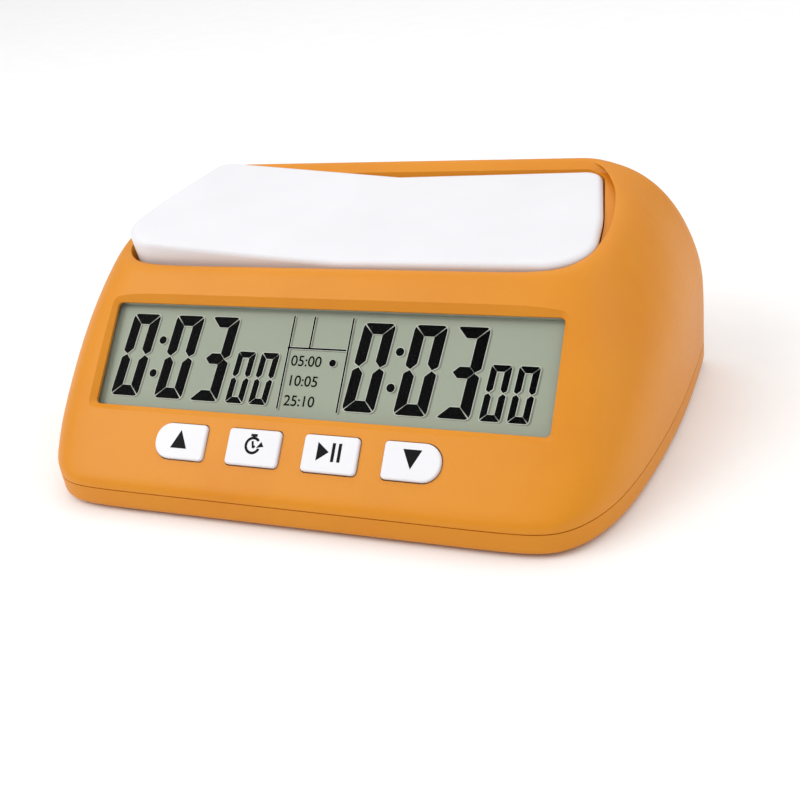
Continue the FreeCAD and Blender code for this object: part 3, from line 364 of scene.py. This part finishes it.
def face_extent(node):
    """A node's lowest and highest reach across, up and out of the sloped face."""
    inverse = FACE_FRAME.inverted()
    points = [inverse @ vertex.co for vertex in NODES[node].data.vertices]
    return [Vector([pick(p[i] for p in points) for i in range(3)]) for pick in (min, max)]


def add_piece(name, mesh, material, body):
    """A new piece whose mesh is in the face's frame, riding on a body and finished as one of its parts."""
    mesh.transform(FACE_FRAME)
    mesh.materials.clear()
    mesh.materials.append(material)
    piece = bpy.data.objects.new(name, mesh)
    bpy.context.scene.collection.objects.link(piece)
    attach(piece, body)


def plates(outlines, low, high):
    """A mesh of thin plates: each outline is a list of (across, up) points, between two heights."""
    shape = bmesh.new()
    for outline in outlines:
        bottom = [shape.verts.new((x, y, low)) for x, y in outline]
        top = [shape.verts.new((x, y, high)) for x, y in outline]
        shape.faces.new(top)
        shape.faces.new(bottom[::-1])
        for i, here in enumerate(bottom):
            after = (i + 1) % len(bottom)
            shape.faces.new((here, bottom[after], top[after], top[i]))
    bmesh.ops.recalc_face_normals(shape, faces=shape.faces)
    mesh = bpy.data.meshes.new("plates")
    shape.to_mesh(mesh)
    shape.free()
    return mesh


def grown(outline, amount):
    """A convex outline with each side moved outwards by an amount."""
    area = sum(a[0] * b[1] - b[0] * a[1] for a, b in zip(outline, outline[1:] + outline[:1]))
    turn = 1.0 if area > 0 else -1.0
    result = []
    for i, here in enumerate(outline):
        before, after = Vector(outline[i - 1]), Vector(outline[(i + 1) % len(outline)])
        into = (Vector(here) - before).normalized()
        away = (after - Vector(here)).normalized()
        normal_in = Vector((into.y, -into.x)) * turn
        normal_out = Vector((away.y, -away.x)) * turn
        middle = (normal_in + normal_out).normalized()
        reach = min(2.0 * amount, amount / max(0.2, middle.dot(normal_in)))
        result.append(tuple(Vector(here) + middle * reach))
    return result


def moved(outline, across, up):
    return [(x + across, y + up) for x, y in outline]


def disc(centre, radius, steps=28):
    """A round outline."""
    turns = [2 * math.pi * i / steps for i in range(steps)]
    return [(centre[0] + radius * math.cos(a), centre[1] + radius * math.sin(a)) for a in turns]


def bar(x0, y0, x1, y1):
    return [(x0, y0), (x1, y0), (x1, y1), (x0, y1)]


# ---------------------------------------------------------------- liquid-crystal figures
LCD = "front_polariser"
LCD_LOW, LCD_HIGH = face_extent(LCD)
LCD_MIDDLE = (LCD_LOW + LCD_HIGH) / 2
FIGURE_SLANT = 0.097
BIG_SIZE = (7.75 * MM, 20.9 * MM, 2.65 * MM)
SMALL_SIZE = (4.7 * MM, 12.6 * MM, 1.5 * MM)
FIGURES_BASE = -10.1 * MM
GROUP_STARTS = {"left": -53.95 * MM, "right": 8.25 * MM}
BIG_STEPS = (0.0, 12.4 * MM, 22.25 * MM)
SMALL_STEPS = (32.1 * MM, 38.3 * MM)
COLON_STEP = 10.3 * MM
COLON_HEIGHTS = (6.0 * MM, 14.4 * MM)
COLON_RADIUS = 1.0 * MM
GLYPHS = {"0": "abcdef", "3": "abcdg"}


def seven_segments(width, height, thick):
    """Outlines of the seven segments of an upright figure, lettered a to g from the top, clockwise."""
    gap = 0.1 * MM
    middle, centre = height / 2, thick / 2
    top = [
        (0.34 * thick + gap, height), (width - 0.34 * thick - gap, height),
        (width - 0.12 * thick - gap, height - 0.1 * thick), (width - thick - gap, height - thick),
        (thick + gap, height - thick), (0.12 * thick + gap, height - 0.1 * thick),
    ]
    upper_left = [
        (0.0, height - 0.42 * thick), (0.09 * thick, height - 0.14 * thick - gap),
        (thick, height - thick - gap), (thick, middle + centre + gap), (centre, middle + gap),
        (0.12 * thick, middle + 0.22 * thick + gap), (0.0, middle + 0.34 * thick + gap),
    ]
    crossbar = [
        (centre + gap, middle), (thick + gap, middle + centre),
        (width - thick - gap, middle + centre), (width - centre - gap, middle),
        (width - thick - gap, middle - centre), (thick + gap, middle - centre),
    ]

    def across(outline):
        return [(width - x, y) for x, y in reversed(outline)]

    def down(outline):
        return [(x, height - y) for x, y in reversed(outline)]

    return {"a": top, "b": across(upper_left), "c": across(down(upper_left)), "d": down(top),
            "e": down(upper_left), "f": upper_left, "g": crossbar}


def leaning(outline, across, up):
    """Leans an outline as the figures lean, then moves it to its place."""
    return [(x + FIGURE_SLANT * (y + up - FIGURES_BASE) + across, y + up) for x, y in outline]


def figure(glyph, size, across):
    """The lit segments of one figure."""
    shapes = seven_segments(*size)
    return [leaning(shapes[letter], across, FIGURES_BASE) for letter in GLYPHS[glyph]]


def time_figures(start):
    """All the outlines of one side's time: hours, colon, minutes and small seconds."""
    outlines = []
    for glyph, step in zip("003", BIG_STEPS):
        outlines += figure(glyph, BIG_SIZE, start + step)
    for step in SMALL_STEPS:
        outlines += figure("0", SMALL_SIZE, start + step)
    for height in COLON_HEIGHTS:
        centre_x = start + COLON_STEP + FIGURE_SLANT * height
        outlines.append(disc((centre_x, FIGURES_BASE + height), COLON_RADIUS))
    return outlines


def display_layers(name, outlines, halo_width, painted_shadow_shift):
    """Segments over a painted pale halo of light over a painted shadow: grown copies of each segment, the
    shadow ones shifted, standing in for the glow and the soft shadow that segments cast on the reflector.
    """
    base = LCD_HIGH.z
    centred = [moved(outline, LCD_MIDDLE.x, LCD_MIDDLE.y) for outline in outlines]
    # Painted shadow: grown copies of each segment, shifted down and across, in dark sage. Painted halo of
    # light: grown copies in pale sage just under each segment.
    painted_shadows = [moved(grown(outline, 0.6 * halo_width), *painted_shadow_shift) for outline in centred]
    painted_halos = [grown(outline, halo_width) for outline in centred]
    layers = {
        name + "_painted_shadow": (painted_shadows, 0.005, 0.015, PAINTED_SHADOW_TONE),
        name + "_painted_halo": (painted_halos, 0.02, 0.035, PAINTED_HALO_TONE),
        name: (centred, 0.04, 0.06, SEGMENT_TONE),
    }
    for layer, (shapes, low, high, tone) in layers.items():
        add_piece(layer, plates(shapes, base + low * MM, base + high * MM), tone, "housing")


def mode_panel():
    """The middle of the display: two long rules, a cross rule with a short upright, and a cursor dot."""
    rule = 0.4 * MM
    left, right, short = -8.15 * MM, 6.9 * MM, -2.7 * MM
    low, cross, high = -10.7 * MM, 4.0 * MM, 11.8 * MM
    outlines = [
        leaning_rule(left, low, high, rule),
        leaning_rule(right, low, high, rule),
        leaning_rule(short, cross, high, rule),
        bar(left, cross - rule / 2, right, cross + rule / 2),
        disc((4.0 * MM, 0.85 * MM), 0.85 * MM),
    ]
    # The last two values are the width of the painted halo of light and the shift of the painted shadow.
    display_layers("mode_panel", outlines, 0.12 * MM, (0.5 * MM, -0.25 * MM))


def leaning_rule(across, low, high, width):
    """A thin upright rule that leans a little."""
    lean = 0.012
    return [(across, low), (across + width, low), (across + width + lean * (high - low), high),
            (across + lean * (high - low), high)]


def preset_marks():
    """Three lines of small figures in the mode panel."""
    for line, words in enumerate(("05:00", "10:05", "25:10")):
        text = bpy.data.curves.new("preset_%d" % line, "FONT")
        text.body = words
        text.size = 3.55 * MM
        text.extrude = 0.01 * MM
        text.offset = 0.02 * MM
        holder = bpy.data.objects.new("preset_source", text)
        mesh = bpy.data.meshes.new_from_object(holder)
        bpy.data.objects.remove(holder)
        across = LCD_MIDDLE.x - 6.6 * MM
        up = LCD_MIDDLE.y - (0.25 + 4.75 * line) * MM
        mesh.transform(Matrix.Translation((across, up, LCD_HIGH.z + 0.05 * MM)))
        add_piece("preset_%d" % line, mesh, SEGMENT_TONE, "housing")


def display():
    """Both sides' times and the panel between them."""
    for side, start in GROUP_STARTS.items():
        # The last two values are the width of the painted halo of light and the shift of the painted
        # shadow.
        display_layers("figures_" + side, time_figures(start), 0.17 * MM, (0.5 * MM, -0.2 * MM))
    mode_panel()
    preset_marks()


# ---------------------------------------------------------------- key symbols
def ring_band(radius, width, start, end, steps=36):
    """Outlines of short plates that together make a band round part of a circle."""
    turns = [math.radians(start + (end - start) * i / steps) for i in range(steps + 1)]
    pieces = []
    for a, b in zip(turns, turns[1:]):
        inner, outer = radius - width / 2, radius + width / 2
        pieces.append([
            (inner * math.cos(a), inner * math.sin(a)), (outer * math.cos(a), outer * math.sin(a)),
            (outer * math.cos(b), outer * math.sin(b)), (inner * math.cos(b), inner * math.sin(b)),
        ])
    return pieces


def stroke(x0, y0, x1, y1, width):
    """A straight stroke between two points."""
    side = Vector((y0 - y1, x1 - x0)).normalized() * width / 2
    return [
        (x0 - side.x, y0 - side.y), (x1 - side.x, y1 - side.y),
        (x1 + side.x, y1 + side.y), (x0 + side.x, y0 + side.y),
    ]


def stopwatch():
    """A ring with an arrowhead, a crown on top and two hands."""
    outlines = ring_band(1.72 * MM, 0.62 * MM, 40.0, 338.0)
    outlines.append([(0.95 * MM, -0.5 * MM), (2.75 * MM, -0.1 * MM), (2.05 * MM, 0.95 * MM)])
    outlines.append(bar(-0.8 * MM, 2.05 * MM, 0.8 * MM, 2.65 * MM))
    outlines.append(bar(-0.3 * MM, 1.5 * MM, 0.3 * MM, 2.1 * MM))
    outlines.append(stroke(0.15 * MM, -0.55 * MM, -0.2 * MM, 1.0 * MM, 0.5 * MM))
    outlines.append(stroke(0.1 * MM, -0.55 * MM, 0.6 * MM, -0.1 * MM, 0.45 * MM))
    return outlines


def play_pause():
    """An arrowhead and two bars."""
    half = 2.1 * MM
    arrow = [(-3.05 * MM, -half), (-0.2 * MM, 0.0), (-3.05 * MM, half)]
    return [arrow, bar(0.45 * MM, -half, 1.2 * MM, half), bar(1.95 * MM, -half, 2.7 * MM, half)]


def triangle(direction):
    """A triangle that points up for 1, down for -1."""
    half = 2.15 * MM
    return [[(-half, -half * direction), (half, -half * direction), (0.0, half * direction)]]


def key_symbols():
    """The printed signs, one on each key cap."""
    shapes = {"up": triangle(1), "mode": stopwatch(), "play": play_pause(), "down": triangle(-1)}
    for name, outlines in shapes.items():
        low, high = face_extent("key_" + name)
        middle = (low + high) / 2
        placed = [moved(outline, middle.x, middle.y + 0.45 * MM) for outline in outlines]
        ink = plates(placed, high.z + 0.002 * MM, high.z + 0.03 * MM)
        add_piece("symbol_" + name, ink, INK_PRINT, "key_" + name)


# ---------------------------------------------------------------- floor, light and camera
CAMERA_LENS = 50.54  # millimetres, on a 36 mm sensor
CAMERA_ANGLES = (25.38, 28.12, -8.74)  # azimuth, elevation and roll in degrees
CAMERA_OFFSET = (7.73 * MM, 6.35 * MM, 285.61 * MM)
CAMERA_LIFT = 0.6 * MM


def floor():
    """A plain pale floor."""
    shape = bmesh.new()
    bmesh.ops.create_grid(shape, x_segments=2, y_segments=2, size=6.0)
    mesh = bpy.data.meshes.new("studio_floor")
    shape.to_mesh(mesh)
    shape.free()
    plane = bpy.data.objects.new("studio_floor", mesh)
    plane.location.z = CAD_BOX[0][2]
    bpy.context.scene.collection.objects.link(plane)
    shader = Shader("pale_floor")
    paper = shader.noise(60.0, 3.0)
    shader.set(Base_Color=shader.ramp(paper, [(0.3, PAPER_DARK), (0.7, PAPER_PALE)]), Roughness=0.85)
    shader.set(Specular_IOR_Level=0.1)
    mesh.materials.append(shader.material)


def area_light(name, place, aim, size, watts, colour=PURE_WHITE):
    """A rectangular soft light that faces a point."""
    lamp = bpy.data.lights.new(name, "AREA")
    lamp.shape = "RECTANGLE"
    lamp.size, lamp.size_y = size
    lamp.energy = watts
    lamp.color = colour
    holder = bpy.data.objects.new(name, lamp)
    holder.location = place
    holder.rotation_euler = (Vector(aim) - Vector(place)).to_track_quat("-Z", "Y").to_euler()
    bpy.context.scene.collection.objects.link(holder)


def studio():
    """A pale room with a wide overhead scrim and a softbox on each side."""
    world = bpy.data.worlds.new("studio_world")
    world.use_nodes = True
    background = world.node_tree.nodes["Background"]
    background.inputs["Color"].default_value = (*PURE_WHITE, 1.0)
    background.inputs["Strength"].default_value = 0.46
    bpy.context.scene.world = world
    middle = (0.0, 0.0, 0.03)
    area_light("overhead_scrim", (0.0, 0.6, 2.5), (0.0, 0.6, 0.0), (6.0, 6.0), 84.0)
    area_light("left_softbox", (-0.55, -0.45, 0.65), middle, (0.6, 0.6), 3.2)
    area_light("right_softbox", (0.8, 0.1, 0.45), middle, (0.5, 0.6), 1.1, WARM_WHITE)
    bpy.context.scene.view_settings.view_transform = "Standard"


def camera():
    """The product view: from the front right, looking down, rolled a little clockwise."""
    lens = bpy.data.cameras.new("product_camera")
    lens.sensor_width = 36.0
    lens.lens = CAMERA_LENS
    lens.clip_start = 0.01
    azimuth, elevation, roll = (math.radians(angle) for angle in CAMERA_ANGLES)
    back = Vector((math.sin(azimuth) * math.cos(elevation), -math.cos(azimuth) * math.cos(elevation),
                   math.sin(elevation)))
    right = Vector((math.cos(azimuth), math.sin(azimuth), 0.0))
    above = back.cross(right)
    tilted_right = right * math.cos(roll) + above * math.sin(roll)
    tilted_up = above * math.cos(roll) - right * math.sin(roll)
    turn = Matrix((tilted_right, tilted_up, back)).transposed().to_4x4()
    holder = bpy.data.objects.new("product_camera", lens)
    lift = Matrix.Translation((0.0, 0.0, CAMERA_LIFT))
    holder.matrix_world = lift @ turn @ Matrix.Translation(CAMERA_OFFSET)
    bpy.context.scene.collection.objects.link(holder)
    bpy.context.scene.camera = holder


display()
key_symbols()
floor()
studio()
camera()
